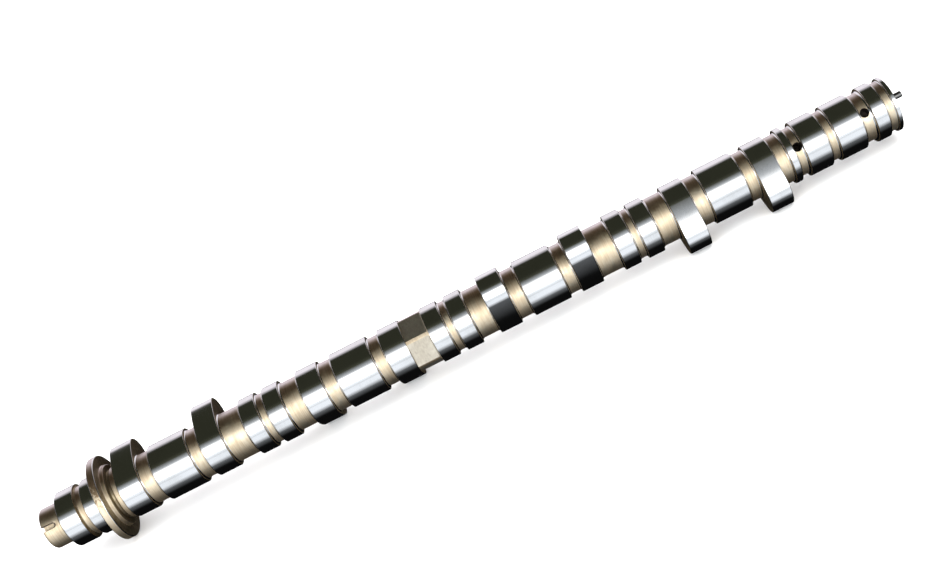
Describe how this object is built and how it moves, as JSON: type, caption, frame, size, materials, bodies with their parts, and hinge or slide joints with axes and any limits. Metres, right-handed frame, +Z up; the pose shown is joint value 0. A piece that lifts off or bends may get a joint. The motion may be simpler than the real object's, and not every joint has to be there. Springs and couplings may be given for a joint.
{
  "type": "camshaft",
  "caption": "One-piece overhead camshaft with ground journals and lobes, a thrust flange, spanner hexagon, notched rear nose and a grooved front bearing with bolt bore and dowel pin.",
  "frame": {"origin": "where the shaft's axis meets the front face, at the mouth of the bolt bore", "axes": "+X along the shaft, out of the front face; +Z up, with the shaft lying as it comes to rest on its flange and lobes"},
  "size_m": [0.4362, 0.041, 0.041],
  "materials": {
    "ground_steel": "ground and polished on journals and lobes, satin turned between them",
    "pin_steel": "hardened, dark ground steel"
  },
  "bodies": {
    "root": {"camshaft": "ground_steel", "dowel_pin": "pin_steel"}
  },
  "joints": []
}
